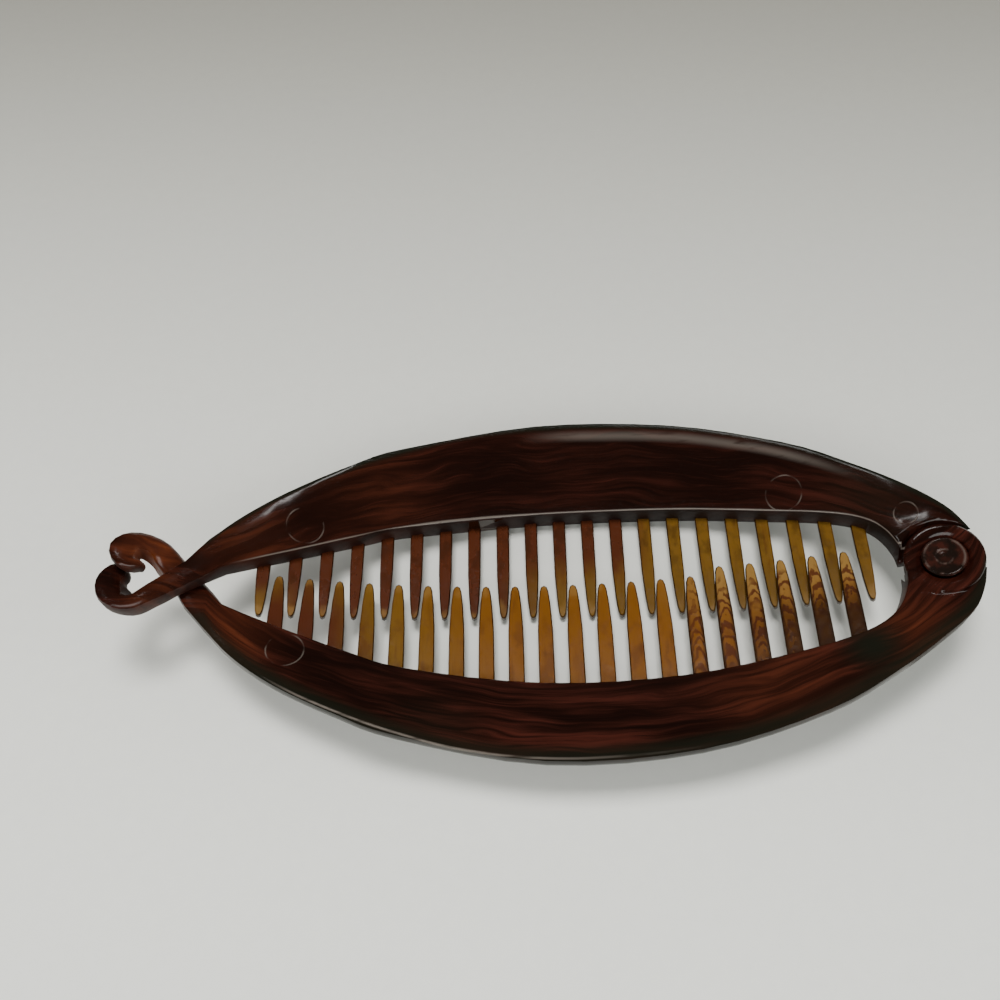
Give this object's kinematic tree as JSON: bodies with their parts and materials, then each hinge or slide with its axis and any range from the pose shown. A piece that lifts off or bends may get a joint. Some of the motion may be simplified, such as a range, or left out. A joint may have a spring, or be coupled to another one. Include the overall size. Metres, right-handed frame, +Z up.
{
  "type": "banana hair clip",
  "caption": "Long oval hair clip of two curved toothed arms, hinged on a rivet at one end and hooked together at the other.",
  "frame": {"origin": "middle of the bounding box, at the surface that the closed clip lies on", "axes": "+X from the clasp to the hinge, +Y towards the arm with 21 teeth, +Z up out of the clip's hollow inner side"},
  "size_m": [0.1556, 0.0664, 0.0236],
  "materials": {
    "tortoiseshell_plastic": "polished translucent tortoiseshell, dark brown with amber teeth",
    "rivet_plastic": "glossy dark brown"
  },
  "bodies": {
    "upper_half": {"upper_comb_arm": "tortoiseshell_plastic", "hinge_rivet": "rivet_plastic"},
    "lower_half": {"lower_comb_arm": "tortoiseshell_plastic"}
  },
  "joints": [
    {"name": "arm_hinge", "type": "hinge", "parent": "upper_half", "child": "lower_half", "pos_m": [0.0703, 0, 0.01468], "axis": [-0.2882, 0, 0.9576], "range_deg": [0, 90]}
  ]
}
